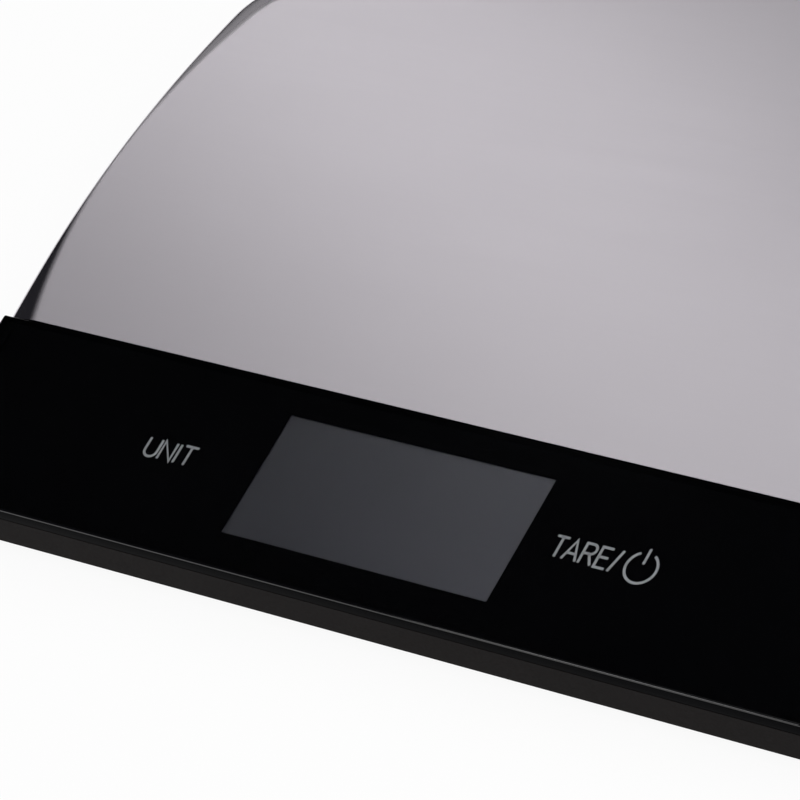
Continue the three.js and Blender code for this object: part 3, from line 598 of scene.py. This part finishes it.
# ---- Feet: fine turned surfaces over the faceted solids ----
def turned(name, profile, centre, body, slot_name, node):
    """A solid of revolution whose profile starts and ends on its axis."""
    bm = bmesh.new()
    rings = []
    for r, z in profile:
        if r == 0:
            rings.append([bm.verts.new((centre[0], centre[1], z))])
            continue
        ring = []
        for i in range(pad_sides):
            a = 2 * math.pi * i / pad_sides
            x, y = centre[0] + r * math.cos(a), centre[1] + r * math.sin(a)
            ring.append(bm.verts.new((x, y, z)))
        rings.append(ring)
    for a, b in zip(rings, rings[1:]):
        for i in range(pad_sides):
            j = (i + 1) % pad_sides
            if len(a) == 1:
                bm.faces.new((a[0], b[i], b[j]))
            elif len(b) == 1:
                bm.faces.new((a[i], a[j], b[0]))
            else:
                bm.faces.new((a[i], a[j], b[j], b[i]))
    piece = mesh_from(name, bm, pad_sharp_angle)
    dress(piece, slot_name)
    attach(piece, body)
    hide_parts(node)


def foot(corner):
    pad_low, pad_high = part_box("foot_pad_" + corner)
    centre = ((pad_low.x + pad_high.x) / 2, (pad_low.y + pad_high.y) / 2)
    r = (pad_high.x - pad_low.x) / 2
    profile = [(r * share, pad_groove_depth * deep) for share, deep in pad_face]
    profile += [(r - inset * MM, up * MM) for inset, up in pad_edge]
    profile += [(r, pad_high.z), (0, pad_high.z)]
    turned("foot_pad_skin_" + corner, profile, centre,
           "foot_" + corner, "rubber_black", "foot_pad_" + corner)


steel_plate()
glass_strip()
for word_name, word in key_words.items():
    legend(word_name, *word)
power_symbol("legend_power", power_x, strip_y + power_behind, power_radius)
for corner_name in ("front_left", "front_right", "rear_left", "rear_right"):
    foot(corner_name)

# ---- Floor, light and camera ----
wall_tone = (0.02, 0.02, 0.023)
ceiling_tone = (0.8, 0.8, 0.8)
ceiling_from = 0.8  # height in the world's sphere where the ceiling begins
floor_half = 3.0
floor_drop = 0.02 * MM
floor_tone = (0.95, 0.95, 0.95, 1)
floor_roughness = 0.8
floor_white_share = 0.92

# Each lamp: its place, the place it looks at, its width, its height and its power.
lamps = {
    "overhead": ((0.52, -0.33, 1.2), (0.05, -0.03, 0), 2.6, 2.6, 23),
    "behind": ((-0.41, 0.325, 0.517), (-0.004, 0.018, 0.017), 0.14, 0.16, 0.31),
    "rear": ((-0.91, 0.665, 0.38), (-0.086, 0.038, 0.017), 0.4, 0.4, 0.13),
    "edge": ((-0.357, -0.685, 0.305), (0.07, -0.0725, 0.017), 0.17, 0.17, 0.5),
}
camera_right = Vector((0.78679, 0.47343, -0.39602))
camera_up = Vector((-0.18673, 0.79412, 0.57837))
camera_target = Vector((0, strip_y + 0.3 * MM, top_z))
camera_from_target = Vector((0.50012, -0.30951, 0.61748))
camera_sensor = 36
camera_lens = 226.6
camera_clip_start = 0.01


def light_path_sum(tree, names):
    """One where the ray is of any of the named kinds, and zero elsewhere."""
    path = tree.nodes.new("ShaderNodeLightPath")
    total = path.outputs[names[0]]
    for name in names[1:]:
        add = tree.nodes.new("ShaderNodeMath")
        add.operation = "MAXIMUM"
        tree.links.new(total, add.inputs[0])
        tree.links.new(path.outputs[name], add.inputs[1])
        total = add.outputs[0]
    return total


def set_world():
    world = bpy.data.worlds.new("studio")
    bpy.context.scene.world = world
    world.use_nodes = True
    tree = world.node_tree
    tree.nodes.clear()
    coordinates = tree.nodes.new("ShaderNodeTexCoord")
    split = tree.nodes.new("ShaderNodeSeparateXYZ")
    tree.links.new(coordinates.outputs["Generated"], split.inputs["Vector"])
    light = add_node(tree, "ShaderNodeBackground", Strength=1.0)
    tone = ramp(tree, split.outputs["Z"], wall_tone, ceiling_tone, ceiling_from, 1.0)
    tree.links.new(tone, light.inputs["Color"])
    out = tree.nodes.new("ShaderNodeOutputWorld")
    tree.links.new(light.outputs[0], out.inputs["Surface"])


def floor():
    bm = bmesh.new()
    bmesh.ops.create_grid(bm, x_segments=1, y_segments=1, size=floor_half)
    mesh = bpy.data.meshes.new("floor")
    bm.to_mesh(mesh)
    bm.free()
    obj = add_object("floor", mesh)
    obj.location.z = -floor_drop
    material, tree, shader = new_material("floor_white")
    shader.inputs["Base Color"].default_value = floor_tone
    shader.inputs["Roughness"].default_value = floor_roughness
    white = add_node(tree, "ShaderNodeEmission", Color=(1, 1, 1, 1), Strength=1.0)
    share = tree.nodes.new("ShaderNodeMath")
    share.operation = "MULTIPLY"
    share.inputs[1].default_value = floor_white_share
    seen = light_path_sum(tree, ["Is Camera Ray", "Is Glossy Ray", "Is Transmission Ray"])
    tree.links.new(seen, share.inputs[0])
    mix = tree.nodes.new("ShaderNodeMixShader")
    tree.links.new(share.outputs[0], mix.inputs["Fac"])
    tree.links.new(shader.outputs[0], mix.inputs[1])
    tree.links.new(white.outputs[0], mix.inputs[2])
    tree.links.new(mix.outputs[0], tree.nodes["Material Output"].inputs["Surface"])
    mesh.materials.append(material)


def area_light(name, place, target, width, height, power):
    data = bpy.data.lights.new(name, "AREA")
    data.shape = "ELLIPSE"
    data.size = width
    data.size_y = height
    data.energy = power
    obj = bpy.data.objects.new(name, data)
    obj.location = place
    aim = Vector(target) - Vector(place)
    obj.rotation_euler = aim.to_track_quat("-Z", "Y").to_euler()
    bpy.context.scene.collection.objects.link(obj)


def set_camera():
    data = bpy.data.cameras.new("camera")
    camera = bpy.data.objects.new("camera", data)
    bpy.context.scene.collection.objects.link(camera)
    basis = Matrix((camera_right, camera_up, camera_right.cross(camera_up))).transposed()
    place = camera_target + camera_from_target
    camera.matrix_world = Matrix.Translation(place) @ basis.to_4x4()
    data.sensor_width = camera_sensor
    data.lens = camera_lens
    data.clip_start = camera_clip_start
    bpy.context.scene.camera = camera


set_world()
floor()
for lamp_name, lamp in lamps.items():
    area_light(lamp_name, *lamp)
set_camera()
bpy.context.scene.view_settings.view_transform = "Standard"
